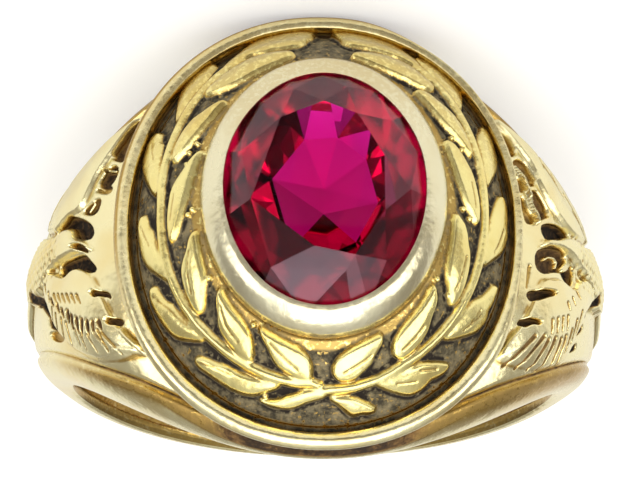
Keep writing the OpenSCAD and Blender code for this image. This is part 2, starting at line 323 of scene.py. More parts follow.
def skinned(name, grid, closed_i=True, closed_j=True, capped=False, **values):
    """A mesh over a grid of points [i, j]: one four-sided face between neighbours along i and j,
    going round where that way is closed, with a cap on the first and last i where they are open.
    values are numbers for each point, kept as attributes for the material."""
    n, m = grid.shape[:2]
    i, j = np.meshgrid(np.arange(n if closed_i else n - 1), np.arange(m if closed_j else m - 1),
                       indexing="ij")
    i, j = i.ravel(), j.ravel()
    i2, j2 = (i + 1) % n, (j + 1) % m
    corners = np.stack([i * m + j, i * m + j2, i2 * m + j2, i2 * m + j], -1)
    starts = np.arange(len(corners)) * 4
    loops = corners.ravel()
    if capped:
        starts = np.concatenate([starts, len(loops) + np.array([0, m])])
        loops = np.concatenate([loops, np.arange(m)[::-1], (n - 1) * m + np.arange(m)])
    mesh = bpy.data.meshes.new(name)
    mesh.vertices.add(n * m)
    mesh.vertices.foreach_set("co", laid(grid.reshape(-1, 3)).astype(np.float32).ravel())
    mesh.loops.add(len(loops))
    mesh.loops.foreach_set("vertex_index", loops.astype(np.int32))
    mesh.polygons.add(len(starts))
    mesh.polygons.foreach_set("loop_start", starts.astype(np.int32))
    mesh.polygons.foreach_set("use_smooth", np.ones(len(starts), bool))
    for value_name, value in values.items():
        stored = mesh.attributes.new(value_name, "FLOAT", "POINT")
        stored.data.foreach_set("value", np.asarray(value, np.float32).ravel())
    mesh.update(calc_edges=True)
    mesh.validate()
    piece = bpy.data.objects.new(name, mesh)
    bpy.context.scene.collection.objects.link(piece)
    return piece


def band_painted_shade(t, rows):
    """How much painted shade lies on the band, by angle and row: in the groove beside the panel, in the
    hollow of the moulding, where there is more on the right, and close under the rim. It fades towards the
    plain band."""
    away = from_head(t)
    right_side = soft_step(np.sin(np.radians(t)), -0.125, 0.125)
    near_rim = soft_step(away - 20 * right_side, 68, 38)
    in_groove = 0.80 * bell(rows, 5.15, 0.38) * (0.2 + 0.8 * near_rim)
    in_hollow = bell(rows, 3.9, 0.6 + 0.8 * right_side) * (0.08 + 0.42 * near_rim)
    under_rim = soft_step(away, 50, 26) * soft_step(rows - 2.0 * soft_step(away, 12, 36), 1.2, 1.8)
    under_rim = under_rim * (0.50 + 0.45 * soft_step(away, 23, 13)) * (1 - 0.8 * soft_step(rows, 5.3, 5.7))
    return np.maximum.reduce([in_groove, in_hollow, under_rim]) * on_shoulder(t)


t_band = np.linspace(0, 360, 480, endpoint=False)
row_at = np.concatenate([np.arange(0, PANEL, 0.125), np.linspace(PANEL, MIDDLE, 10)])
half = half_section(t_band, row_at)
# Each eagle is a sheet of its own laid in a shallow pocket of the shoulder.
eagle_from, eagle_to = 24.0, 93.0
pocket_depth = 0.62
away = from_head(t_band)
pocket = soft_step(away, eagle_from + 1, eagle_from + 3) * soft_step(away, eagle_to - 5, eagle_to - 8)
half[..., 0] -= pocket_depth * soft_step(row_at[:, None], GROOVE + 0.1, GROOVE + 0.6) * pocket
bore_share = 0.985
inside_y = np.linspace(-1, 1, 9)[:, None] * (bore_share * half_width(t_band))
inside = np.stack([np.full(inside_y.shape, finger_r), inside_y], -1)
ring_section = np.concatenate([half, half[-2::-1] * [1, -1], inside])
# The inside of the finger hole gets an even painted shade.
bore_shade = np.full(inside.shape[:2], 0.36)
band_shade = band_painted_shade(t_band, row_at[:, None])
band = skinned("band", round_finger(ring_section[..., 0], ring_section[..., 1], t_band),
               tarnish=np.concatenate([band_shade, band_shade[-2::-1], bore_shade]))


def cut_light_hole(piece, half_w, half_l, low_z, high_z):
    """Takes an oval hole out of a piece, straight down under the stone, with an upright wall: the
    piece less an oval block."""
    a = np.radians(np.arange(0, 360, 3.0))
    rim = np.stack([half_w * np.cos(a), half_l * np.sin(a), 0 * a], -1)
    block = skinned("light_hole_block", np.stack([rim + [0, 0, low_z], rim + [0, 0, high_z]]),
                    closed_i=False, capped=True)
    cut = piece.modifiers.new("light_hole", "BOOLEAN")
    cut.operation = "DIFFERENCE"
    cut.solver = "MANIFOLD"
    cut.object = block
    bpy.context.view_layer.update()
    finished = bpy.data.meshes.new_from_object(piece.evaluated_get(bpy.context.evaluated_depsgraph_get()))
    finished.materials.clear()
    piece.modifiers.clear()
    piece.data = finished
    bpy.data.objects.remove(block)


light_hole_w, light_hole_l = 3.34, 4.34
cut_light_hole(band, light_hole_w, light_hole_l, 5.0, plate_z + 1.2)


def gold(name, pale, deep, specks=0.35, crust_and_shade_tones=((0.05, 0.034, 0.022), (0.24, 0.17, 0.10))):
    """Cast gold: a pale and a deeper tone in soft clouds. Where the piece's value of painted shade and
    tarnish rises, the metal turns amber, then gets a mottled brown crust, and is black at the full value. In
    hollows, cuts, grooves and pockets this is painted shade, and on the wreath's stippled ground it is real
    tarnish. Worn specks take away from it, and fine scratches and pits are in the relief."""
    shade_amber, soot_and_shade = (0.50, 0.33, 0.09, 1), (0.02, 0.013, 0.008, 1)
    material, tree, shader = new_material(name)
    place = node(tree, "TexCoord").outputs["Object"]
    cloud = noise(tree, place, 420.0, 4.0)
    grain = noise(tree, place, 5200.0, 4.0, 0.65)
    dirt = noise(tree, place, 2100.0, 5.0, 0.7)
    tone = ramp(tree, cloud, (0.3, deep), (0.55, pale))
    crust_and_shade = ramp(tree, dirt, (0.40, crust_and_shade_tones[0]), (0.68, crust_and_shade_tones[1]))
    # This value says how much painted shade, and on the wreath's ground real tarnish, a place has.
    tarnish = node(tree, "Attribute", attribute_name="tarnish").outputs["Fac"]
    speck = mapped(tree, grain, From_Min=0.52, From_Max=0.74, To_Max=specks)
    held = counted(tree, "SUBTRACT", tarnish, speck, use_clamp=True)
    crust_and_shade_share = mapped(tree, held, From_Min=0.40, From_Max=0.68)
    colour = blend(tree, mapped(tree, held, From_Min=0.02, From_Max=0.35), tone, shade_amber)
    colour = blend(tree, crust_and_shade_share, colour, crust_and_shade)
    colour = blend(tree, mapped(tree, held, From_Min=0.82), colour, soot_and_shade)
    feed(tree, colour, shader.inputs["Base Color"])
    feed(tree, mapped(tree, crust_and_shade_share, To_Min=1.0, To_Max=0.3), shader.inputs["Metallic"])
    haze = mapped(tree, crust_and_shade_share, To_Min=0.17, To_Max=0.6)
    feed(tree, counted(tree, "MULTIPLY_ADD", cloud, haze, haze), shader.inputs["Roughness"])
    turned = node(tree, "Mapping", {"Vector": place}, Rotation=(0.3, 0.2, 0.9),
                  Scale=(9000.0, 1500.0, 4200.0))
    scratches = noise(tree, turned.outputs["Vector"], 1.0)
    rough_cast = counted(tree, "MULTIPLY_ADD", scratches, 0.35, grain)
    fine = node(tree, "Bump", {"Height": rough_cast}, Strength=0.25, Distance=0.00003)
    uneven = node(tree, "Bump", {"Height": noise(tree, place, 1300.0), "Normal": fine.outputs["Normal"]},
                  Strength=0.35, Distance=0.00012)
    feed(tree, uneven.outputs["Normal"], shader.inputs["Normal"])
    return material


worn_gold = gold("worn_gold", (0.92, 0.83, 0.48), (0.86, 0.71, 0.34), specks=0.18,
                 crust_and_shade_tones=((0.07, 0.035, 0.012), (0.34, 0.19, 0.06)))
band.data.materials.append(worn_gold)
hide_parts("ring_body")
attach(band, "root")


# Eagles: cast with the shoulders, one on each side, head to the rim and wings spread along the
# finger, with the tail towards the back of the hand. Deep pockets part wings, neck and rim, and
# feathers and scales are cut in with short strokes.
def outline_of(corners):
    """A closed outline with its corners rounded: each straight run is cut at a quarter and at three
    quarters of its length, and this is done twice."""
    line = np.array(corners, float)
    for _ in range(2):
        after = np.roll(line, -1, axis=0)
        line = np.stack([0.75 * line + 0.25 * after, 0.25 * line + 0.75 * after], 1).reshape(-1, 2)
    return line


def off_line(u, v, line, closed=False):
    """Distance from every place u, v to a line of straight runs: the least of the distances to the
    runs, each to the nearest place between its two ends."""
    least = np.full(np.broadcast(u, v).shape, 1e9)
    ends = np.roll(line, -1, axis=0)
    for (u0, v0), (u1, v1) in list(zip(line, ends))[:len(line) if closed else -1]:
        run_u, run_v = u1 - u0, v1 - v0
        share = np.clip(((u - u0) * run_u + (v - v0) * run_v) / (run_u ** 2 + run_v ** 2 + 1e-12), 0, 1)
        least = np.minimum(least, np.hypot(u - u0 - share * run_u, v - v0 - share * run_v))
    return least


def depth_in(u, v, line):
    """How far every place u, v lies inside a closed outline, and below 0 how far outside: the
    distance to the outline, signed by how often a ray along u crosses it."""
    crossed = np.zeros(np.broadcast(u, v).shape, int)
    for (u0, v0), (u1, v1) in zip(line, np.roll(line, -1, axis=0)):
        if v0 != v1:
            crossed += ((v0 > v) != (v1 > v)) & (u < u0 + (v - v0) * (u1 - u0) / (v1 - v0))
    return np.where(crossed % 2 == 1, 1, -1) * off_line(u, v, line, closed=True)


def rounded(off, half_w, power=2):
    """Height of a rounded ridge at a distance off its middle: the root of one less the distance, in
    half-widths, to the power. It is a half circle at power 2, and fuller above."""
    return np.sqrt(np.clip(1 - (off / half_w) ** power, 0, 1))


def softened(height, reach):
    """The height averaged over a square of neighbours, reach places to each side, done twice."""
    for axis in (0, 1, 0, 1):
        pad = [(reach + 1, reach) if k == axis else (0, 0) for k in (0, 1)]
        total = np.cumsum(np.pad(height, pad, mode="edge"), axis=axis)
        n = height.shape[axis]
        span = 2 * reach + 1
        height = (np.take(total, range(span, span + n), axis) - np.take(total, range(n), axis)) / span
    return height


# All places on an eagle are degrees from the middle of the head, and millimetres along the finger.
# The left eagle is -1 and the right one is 1.
# Raised forms: height, then outline, for the upper wing, the lower wing, and the head and body.
raised = {
    -1: [(0.3, [(35, 5.45), (36.5, 5.45), (39, 4.75), (42, 3.7), (44.5, 3.0), (45.5, 2.4), (47.5, 1.65),
             (52, 1.8), (57, 1.45), (62, 1.9), (67, 2.1), (64, 3.2), (57, 4.3), (60, 6.5), (47, 6.8),
             (37, 6.15)]),
         (0.34, [(44, -1.1), (42, -1.75), (40.5, -2.3), (39, -3.05), (37, -3.8), (33.5, -4.35),
             (32.5, -4.55), (36.5, -4.85), (43, -4.65), (48.5, -4.15), (52, -3.65), (55, -3.05),
             (57, -2.55), (58.5, -1.8), (62, -0.45), (60, 0.1), (54.5, -0.5), (51.5, -0.85), (49, -0.7),
             (47, -0.75)]),
         (0.42, [(43.5, -0.2), (45, 0.2), (48.5, 0.55), (49.5, 1.05), (52, 1.25), (56.5, 1.2), (62, 1.75),
             (70, 1.7), (77, 1.1), (78, 0.3), (72, -0.6), (64, -0.75), (59, -0.3), (55, 0.0), (47, -0.15),
             (44, -0.3)])],
    1: [(0.3, [(34.5, 5.35), (36, 5.05), (38, 4.7), (40, 4.2), (42.5, 3.6), (43, 2.85), (46.5, 1.9),
             (53.5, 1.45), (62, 1.9), (67, 2.1), (64, 3.2), (57, 4.3), (62.5, 6.7), (48.5, 6.9),
             (39, 6.35)]),
        (0.34, [(42.5, -1.1), (40.5, -1.7), (39, -2.55), (37.5, -3.2), (35, -3.9), (33, -4.75),
             (37.5, -4.8), (45.5, -4.55), (53, -3.9), (55, -3.05), (56, -2.35), (61, -1.3), (66, -0.2),
             (60, 0.2), (55, -0.3), (53.5, -0.8), (51, -0.9), (47, -0.8), (44.5, -1.05)]),
        (0.42, [(41.5, 0.15), (43, 0.55), (46.5, 0.75), (49.5, 1.1), (53, 1.35), (58, 1.4), (62, 1.75),
             (70, 1.7), (77, 1.1), (78, 0.3), (72, -0.6), (66, -0.6), (60, 0.0), (55, 0.2), (51, 0.45),
             (46, 0.35), (43, 0.1)])]}
# Pockets: depth, how dark the painted shade on the floor is, then outline, from the upper wing's pockets to
# the lower wing's.
pockets = {
    -1: [(0.4, 0.62, [(36.5, 5.35), (39, 4.75), (40.5, 4.2), (42, 3.7), (40, 3.4), (38, 3.2),
             (36.5, 3.75), (35.5, 4.4)]),
         (0.4, 0.85, [(41.5, 3.35), (38.5, 2.95), (40, 2.15), (44.5, 2.45)]),
         (0.3, 0.25, [(39.5, 2.25), (40, 1.85), (44.5, 2.3), (44, 2.45)]),
         (0.34, 0.7, [(43.5, 1.95), (42, 1.75), (43, 1.15), (47.5, 1.55), (47, 1.75)]),
         (0.46, 1.0, [(56.5, 1.25), (57.5, 1.5), (54, 1.65), (52, 1.8), (50, 1.6), (46, 1.15),
             (43.5, 0.65), (43.5, 0.25), (46, 0.35), (48.5, 0.6), (49.5, 1.05), (51.5, 1.3), (54, 1.2)]),
         (0.22, 0.6, [(49.5, 0.25), (47, 0.2), (44.5, -0.1), (44.5, -0.3), (47, -0.05)]),
         (0.46, 1.0, [(55, -0.1), (53, -0.1), (47, -0.25), (45.5, -0.35), (44, -0.7), (42.5, -1.05),
             (42.5, -1.2), (44.5, -1.1), (47, -0.75), (49, -0.7), (51.5, -0.85), (54, -0.55)]),
         (0.24, 0.8, [(43.5, -1.95), (39.5, -2.2), (39, -2.5), (40, -2.3), (42.5, -2.3)]),
         (0.24, 0.8, [(40, -3.2), (37, -3.35), (37, -3.6), (40, -3.45)]),
         (0.2, 0.35, [(62.5, -2.3), (58.5, -2.45), (55, -2.95), (57, -3.05), (61.5, -2.65)])],
    1: [(0.4, 0.42, [(35, 5.0), (36, 4.95), (38, 4.65), (39.5, 4.15), (37.5, 3.8), (36.5, 3.8),
             (36, 4.15)]),
        (0.36, 0.5, [(37, 3.5), (39, 3.8), (41, 3.8), (42, 3.5), (43, 2.9), (40, 2.6), (39, 2.75),
             (38, 3.0)]),
        (0.22, 0.5, [(36.5, 2.95), (39, 2.6), (38.5, 2.2), (37, 2.25)]),
        (0.4, 0.62, [(39.5, 2.25), (42, 2.6), (43.5, 2.45), (46, 1.75), (43, 1.4), (41.5, 1.15),
             (40, 1.65)]),
        (0.3, 0.48, [(37.5, 2.0), (38.5, 2.0), (39, 1.55), (41, 1.1), (38.5, 0.85), (38, 1.35)]),
        (0.46, 1.0, [(42, 0.95), (44, 1.25), (47.5, 1.5), (51, 1.6), (53.5, 1.45), (49, 1.05),
             (46.5, 0.7), (43.5, 0.5)]),
        (0.4, 0.8, [(40.5, -0.2), (43, 0.15), (46.5, 0.4), (50, 0.5), (51, 0.2), (48.5, -0.2),
             (49, -0.45), (46, -0.6), (42.5, -0.95), (40.5, -0.8)]),
        (0.46, 1.0, [(48, -0.45), (50.5, -0.35), (53, 0.2), (54.5, 0.15), (53.5, -0.55), (51.5, -0.8),
             (49, -0.65)]),
        (0.24, 0.85, [(38.5, -2.0), (40, -1.8), (45.5, -1.5), (45, -1.7), (42.5, -1.95), (40, -2.25),
             (39, -2.15)]),
        (0.24, 0.85, [(37, -3.25), (38, -3.0), (42, -2.9), (41.5, -3.1), (39.5, -3.15), (38, -3.4)])]}


def side_by_side(starts, ends, count, run):
    """Short strokes in a row: they start at equal steps between two places, and each has the same run
    from its start to its end."""
    return [[start, start + run] for start in np.linspace(starts, ends, count)]


# Strokes cut in: half-width and depth, then each stroke's places. First the deep hollows between the
# lower wing and the body, then the short cuts at the feathers' roots, and last the faint ribs.
strokes = {
    -1: [(0.15, 0.30, [[(70, -0.3), (65.5, -0.8), (61, -1.65), (61, -2.05), (58, -2.45)]]),
         (0.16, 0.34, [[(61.5, 3.3), (62.5, 2.6)], [(64.5, 2.4), (65, 1.8), (67.5, 1.7)]]),
         (0.08, 0.16, [[(59, -0.7), (58.5, -1.0)], [(57, -1.15), (57, -1.45)], [(56, -1.5), (55, -1.8)],
                       [(53.5, -1.9), (53, -2.2)], [(52, -2.2), (51.5, -2.5)],
                       [(43, -3.25), (43, -3.55)], [(41.5, -3.3), (41, -3.6)]]),
         (0.08, 0.17, [[(50, -2.4), (50, -2.8)], [(49, -2.65), (49, -3.1)], [(47.5, -2.85), (47.5, -3.35)],
                       [(46, -3.0), (46.5, -3.5)], [(44.5, -3.15), (44.5, -3.6)]]),
         (0.05, 0.05, [[(48.5, -3.15), (48, -3.8)], [(47, -3.45), (46.5, -4.05)], [(45, -3.6), (43.5, -4.3)],
                       [(43, -3.65), (40.5, -4.35)], [(37.5, 0.1), (37.5, -0.9)],
                       [(37, -1.35), (37, -1.85)]]),
         (0.07, 0.07, side_by_side((54.5, -1.4), (46.5, -2.0), 6, (-0.9, -0.36))),
         (0.045, 0.07, [[(51, -2.75), (51, -3.6)], [(52.5, -2.5), (53.5, -3.2)],
                        [(54.5, -2.15), (55.5, -2.8)], [(56, -1.8), (57, -2.45)]]),
         (0.05, 0.08, [[(42, -3.6), (40.5, -4.45)], [(41, -3.75), (37.5, -4.65)]])],
    1: [(0.13, 0.26, [[(67.5, -0.15), (62, -0.9), (58, -1.6)]]),
        (0.12, 0.24, [[(60, -1.85), (57, -2.4)]]),
        (0.09, 0.20, [[(58.5, -2.75), (56.5, -3.05)]]),
        (0.06, 0.12, [[(40.5, -3.6), (35.5, -4.9)], [(43, -3.45), (38.5, -4.85)], [(44.5, -3.5), (42, -4.7)],
                      [(46.5, -3.3), (45, -4.55)], [(48.5, -3.2), (48, -4.35)], [(50, -3.0), (50, -4.05)],
                      [(52, -2.6), (51.5, -3.5)], [(53.5, -2.1), (53, -3.05)],
                      [(55.5, -1.6), (54.5, -2.55)]]),
        (0.06, 0.10, side_by_side((44.5, -2.75), (49.5, -2.25), 4, (0.5, -0.5))),
        (0.06, 0.14, [[(49, -1.75), (50, -1.95)], [(51, -1.4), (52, -1.6)], [(53, -0.95), (54.5, -1.15)]]),
        (0.05, 0.10, [[(45.5, 4.6), (45.5, 3.85)], [(48.5, 3.8), (49.5, 3.2)], [(59, 4.8), (81.5, 4.6)]]),
        (0.05, 0.12, [[(52, 3.2), (59.5, 2.2)], [(54.5, 2.6), (63.5, 1.95)]]),
        (0.05, 0.08, [[(46, 4.0), (51, 2.9)]]),
        (0.05, 0.05, [[(37, 0.35), (37, -0.45)]]),
        (0.07, 0.07, [[(39, -0.9), (38.5, -1.75)]])]}
# On both upper wings the feathers end in two slanting rows of small tips.
tips = [(0.07, 0.07, side_by_side((44, 5.6), (61, 2.5), 10, (2.5, -0.45))
         + side_by_side((48, 5.95), (65, 2.85), 10, (2.5, -0.45)))]
# Thin raised lines left standing in the pockets: half-width, height, places.
ridges = {
    -1: [(0.10, 0.14, [(37, -3.75), (35.5, -4.2), (33.5, -4.65)]),
         (0.08, 0.10, [(39, -4.45), (36, -4.6), (33, -4.75)]),
         (0.08, 0.30, [(40, 2.95), (42.5, 3.15)]),
         (0.07, 0.22, [(44.5, 1.85), (46, 1.55)])],
    1: [(0.08, 0.28, [(44, -0.2), (45, -0.05), (47, 0.05), (48, -0.05), (47.5, -0.3)]),
        (0.07, 0.26, [(37.5, 3.3), (39, 2.45), (39.5, 2.1), (41, 1.05)])]}
# Tail feathers: each is a rounded ridge whose middle line spreads more with every row.
tail_feathers, tail_half_w, tail_rise = 5, 0.30, 0.26
tail_rows = np.array([(70, 0.5), (80, 1.6), (87, 2.6)])
tail_y = 0.5
scale_w, scale_l, scale_rise = 0.46, 0.34, 0.045
under_r = finger_r + 0.6

to_mm = np.array([np.radians(1) * (finger_r + 3.0), 1.0])
t_eagle = np.concatenate([np.linspace(eagle_from, 70, 232, endpoint=False), np.linspace(70, eagle_to, 62)])
eagle_row = np.concatenate([np.linspace(GROOVE, PANEL, 12, endpoint=False), np.linspace(PANEL, MIDDLE, 130)])
half = half_section(t_eagle, eagle_row)
sheet = np.concatenate([half, half[-2::-1] * [1, -1]])
edge_row = np.concatenate([eagle_row, eagle_row[-2::-1]])[:, None]
along_t = np.broadcast_to(t_eagle, sheet.shape[:2])
u, v = along_t * to_mm[0], sheet[..., 1]


def raised_forms(side):
    """Height of the wings, body and tail. A form has nearly three quarters of its height close to its
    outline, and gains the rest over 0.9 mm. On the neck and body lie scales in staggered rows: a cosine along
    the finger's round times a sine along the finger. Gives also the painted shade in the gaps between the
    scales."""
    relief = np.zeros(u.shape)
    for rise, corners in raised[side]:
        inside = depth_in(u, v, outline_of(np.array(corners) * to_mm))
        relief = np.maximum(relief, rise * (0.72 * soft_step(inside, -0.04, 0.16)
                                            + 0.28 * soft_step(inside, 0, 0.9)))
    for spread in np.linspace(-0.5, 0.5, tail_feathers):
        middle = np.stack([tail_rows[:, 0], tail_y + tail_rows[:, 1] * spread], -1)
        relief = np.maximum(relief, tail_rise * rounded(off_line(u, v, middle * to_mm), tail_half_w))
    stagger = 0.5 * np.floor(v / scale_l)
    scales = np.cos(2 * np.pi * (u / scale_w + stagger)) * np.abs(np.sin(np.pi * v / scale_l))
    body = soft_step(along_t, 52, 56) * soft_step(along_t, 76, 70) * soft_step(np.abs(v - 0.55), 1.35, 0.95)
    return relief + scale_rise * scales * body, 0.55 * body * soft_step(scales, -0.72, -0.92)


def carved(side):
    """Height and painted shade of one eagle: its raised forms, less the strokes, less the level pockets, plus
    the thin ridges. A stroke is a bell across, and narrows from its start to its end. Painted shade lies in
    the strokes by their depth and on the pocket floors, and the ridges stand clear of it."""
    relief, eagle_shade = raised_forms(side)
    for half_w, depth, lines in strokes[side] + tips:
        for line in lines:
            line = np.array(line) * to_mm
            length = np.linalg.norm(np.diff(line, axis=0), axis=1).sum()
            gone = np.clip(np.hypot(u - line[0, 0], v - line[0, 1]) / length, 0, 1)
            cut = bell(off_line(u, v, line), 0, half_w * (1.5 - 0.9 * gone))
            relief -= depth * cut
            eagle_shade = np.maximum(eagle_shade, min(1, 5.5 * depth) * soft_step(cut, 0.15, 0.45))
    for depth, shade, corners in pockets[side]:
        inside = depth_in(u, v, outline_of(np.array(corners) * to_mm))
        pit = soft_step(inside, -0.05, 0.06)
        relief = relief * (1 - pit) - depth * pit
        eagle_shade = np.maximum(eagle_shade * (1 - pit), soft_step(inside, -0.03, 0.03) * min(1, shade + 0.1))
    for half_w, rise, line in ridges[side]:
        ridge = rounded(off_line(u, v, np.array(line) * to_mm), half_w)
        relief += rise * ridge
        eagle_shade *= 1 - ridge
    return relief, eagle_shade


for side, name in ((-1, "left_eagle"), (1, "right_eagle")):
    relief, eagle_shade = carved(side)
    hollow = softened(relief, 4) - relief
    # Painted shade also fills the hollows of the relief, away from the cuts and pockets.
    tarnish = np.maximum(eagle_shade, 0.42 * soft_step(hollow, 0.01, 0.08) * (eagle_shade < 0.2))
    # The sheet's edges dip a little below the shoulder round it.
    fade = soft_step(edge_row, GROOVE + 0.1, GROOVE + 0.7)
    fade = fade * soft_step(along_t, 88, 83) * soft_step(along_t, 26, 29)
    radius = sheet[..., 0] + relief * fade - 0.06 * soft_step(edge_row, GROOVE + 0.4, GROOVE)
    radius = radius - 0.04 * soft_step(along_t, 84, 88)
    under = np.stack([np.full(len(t_eagle), under_r), -half[0, :, 1]], -1)
    section = np.concatenate([np.stack([radius, sheet[..., 1]], -1), under[None], (under * [1, -1])[None]])
    grid = round_finger(section[..., 0], section[..., 1], t_eagle) * [side, 1, 1]
    tarnish = np.concatenate([tarnish * fade, np.zeros((2, len(t_eagle)))])
    # Mirrored to the left, the grid goes round the other way, so that its faces still look outwards.
    grid, tarnish = np.swapaxes(grid, 0, 1)[:, ::side], tarnish.T[:, ::side]
    eagle = skinned(name, grid[:, ::-1], closed_i=False, capped=True, tarnish=tarnish[:, ::-1])
    eagle.data.materials.append(worn_gold)
    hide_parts("ring_body")
    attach(eagle, "root")


# Head: the oval drum that stands on the shoulders, with a rolled rim. A groove runs round under the
# rim, and inside it the rim falls steeply to the wreath.
oval_power = 2.1
# Section of the rim: how far outside the oval, and how high over the crest, from the drum's foot.
rim_rows = np.array([
    [0.02, -1.35], [0.02, -0.98], [-0.04, -0.74], [0.22, -0.58], [0.30, -0.33], [0.19, -0.08],
    [0.00, 0.00], [-0.24, -0.06], [-0.34, -0.26], [-0.40, -0.54], [-0.44, -1.00], [-0.50, -1.35]])


def oval(a, half_w, half_l, z, power=2.0):
    """Points round an oval, a degrees from its near end: half-width times the sine and half-length
    times the cosine, each to the power two over power, with its sign kept."""
    s, c = np.sin(np.radians(a)), np.cos(np.radians(a))
    x = half_w * np.sign(s) * np.abs(s) ** (2 / power)
    y = -half_l * np.sign(c) * np.abs(c) ** (2 / power)
    return np.stack(np.broadcast_arrays(x, y, z), -1)


a_head = np.linspace(0, 360, 540, endpoint=False)
rim = through_rows(rim_rows, np.arange(0, len(rim_rows) - 0.99, 0.1))[:, None]
rim_out, rim_z = rim[..., 0], rim[..., 1]
# On the right of the far end the roll is worn flat against the shoulder.
worn_side = 0.8 * soft_step(a_head, 55, 85) * soft_step(a_head, 172, 147)
rolled = rim_out - worn_side * np.maximum(rim_out, 0)
# Painted shade lies in the groove under the roll, on the far side of the roll, and inside down to the wreath.
far = soft_step(-np.cos(np.radians(a_head)), -0.65, 0.25)
groove_shade = 0.9 * bell(rim_z, -0.82, 0.22) * (rim_out > -0.2)
far_shade = np.maximum(0.50 * soft_step(rim_out, 0.10, 0.20), 0.12) * far
inner_shade = 0.34 * soft_step(-rim_out, 0.18, 0.28) + 0.5 * soft_step(-rim_out, 0.36, 0.41)
head = skinned("head", oval(a_head, head_w / 2 + rolled, head_l / 2 + rolled, crest_z + rim_z, oval_power),
               tarnish=np.maximum(np.maximum(groove_shade, inner_shade), far_shade))
head.data.materials.append(worn_gold)
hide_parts("ring_body")
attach(head, "root")


# Wreath: two laurel branches cast on the domed field between rim and collar. They cross at the near
# end and meet at the far end, over a stippled ground that is left dark.
stone_w, stone_l = 8.0, 10.0
rim_inset, foot_out = 0.46, 0.62
field_low, field_high, field_swell = crest_z - 0.56, finger_r + 4.1, 0.30
recess_z = finger_r + 2.35
# Outlines are lists of places: degrees from the near end, and share of the way from rim to collar.
# On each side the leaves next to the collar come first, then those next to the rim.
left_leaves = [
    [(3.4, .55), (3.5, .67), (4.6, .79), (8, .88), (14, .92), (22, .94), (29, .96), (25.5, .86),
     (22, .79), (20, .73), (18.2, .67), (15.5, .62), (11, .58), (6, .545)],
    [(25.5, .56), (26, .64), (28, .75), (31, .84), (37, .9), (44, .92), (52, .97), (50, .86), (47.3, .79),
     (45, .74), (43.2, .67), (40.2, .615), (35, .585), (30, .555)],
    [(51, .55), (50, .63), (52.5, .72), (55.5, .8), (58.5, .88), (66, .92), (77, .97), (76, .88),
     (73.5, .81), (71, .765), (69.3, .69), (66.2, .61), (62, .575), (57, .55)],
    [(77, .56), (77.5, .64), (79.5, .71), (83, .77), (89, .86), (98, .92), (110, .965), (107, .9),
     (103.5, .81), (100, .75), (97, .67), (94.2, .615), (89, .585), (84, .56)],
    [(104, .54), (104.5, .62), (107, .69), (110, .75), (114.5, .82), (122, .89), (133, .935), (130, .83),
     (127, .755), (124, .7), (121.2, .62), (118, .57), (113.5, .53), (109, .51)],
    [(131, .46), (131.5, .58), (134, .69), (137.5, .79), (143, .86), (152, .9), (162, .9), (168, .84),
     (167, .74), (163, .66), (158.5, .595), (154, .53), (148.5, .495), (141, .475)],
    [(43.4, .21), (42.3, .26), (39.3, .3), (36.5, .325), (33.5, .37), (29, .385), (23, .41), (17, .44),
     (13.5, .43), (15.5, .37), (18.5, .3), (21.5, .235), (25.5, .2), (31, .19), (36, .185), (40.7, .168),
     (42.9, .18)],
    [(69.7, .18), (68.6, .23), (65.5, .255), (62.3, .28), (61, .33), (57.5, .355), (53, .39), (48, .43),
     (43.5, .43), (45.3, .365), (48, .295), (50.7, .215), (53.5, .165), (58, .135), (62, .118),
     (66.5, .108), (69.2, .14)],
    [(90.5, .19), (89.3, .24), (86, .265), (84.7, .32), (81.5, .345), (77, .38), (71, .41), (66.7, .41),
     (69, .36), (72, .28), (75, .2), (78, .15), (82, .125), (86, .11), (89, .11), (90.4, .15)],
    [(116.4, .11), (115.7, .17), (112.8, .205), (111.3, .28), (107, .31), (104, .35), (99, .38),
     (94, .39), (95.5, .31), (99, .205), (102, .115), (105, .045), (108.5, .015), (112.5, .003),
     (115.4, .03)],
    [(145.3, .05), (144.5, .12), (141.5, .17), (139.8, .22), (136, .27), (130, .315), (123, .34),
     (118, .35), (120.5, .29), (123.5, .215), (127, .11), (130, .04), (133.5, -.01), (138, -.03),
     (143, -.03), (145, .0)],
    [(143, .4), (149.5, .375), (155, .395), (157, .47), (161, .51), (165, .57), (171, .59), (173, .5),
     (174.5, .38), (176.5, .28), (177.5, .1), (178.3, -.04), (161, -.04), (157.5, .02), (155, .1),
     (152, .19), (148.5, .255), (143, .32)],
    [(-2, .375), (-5, .372), (-8, .37), (-11, .33), (-14, .26), (-16.7, .19), (-16.6, .15), (-14, .142),
     (-12, .165), (-9.3, .148), (-7.8, .19), (-6, .26), (-4, .32)]]
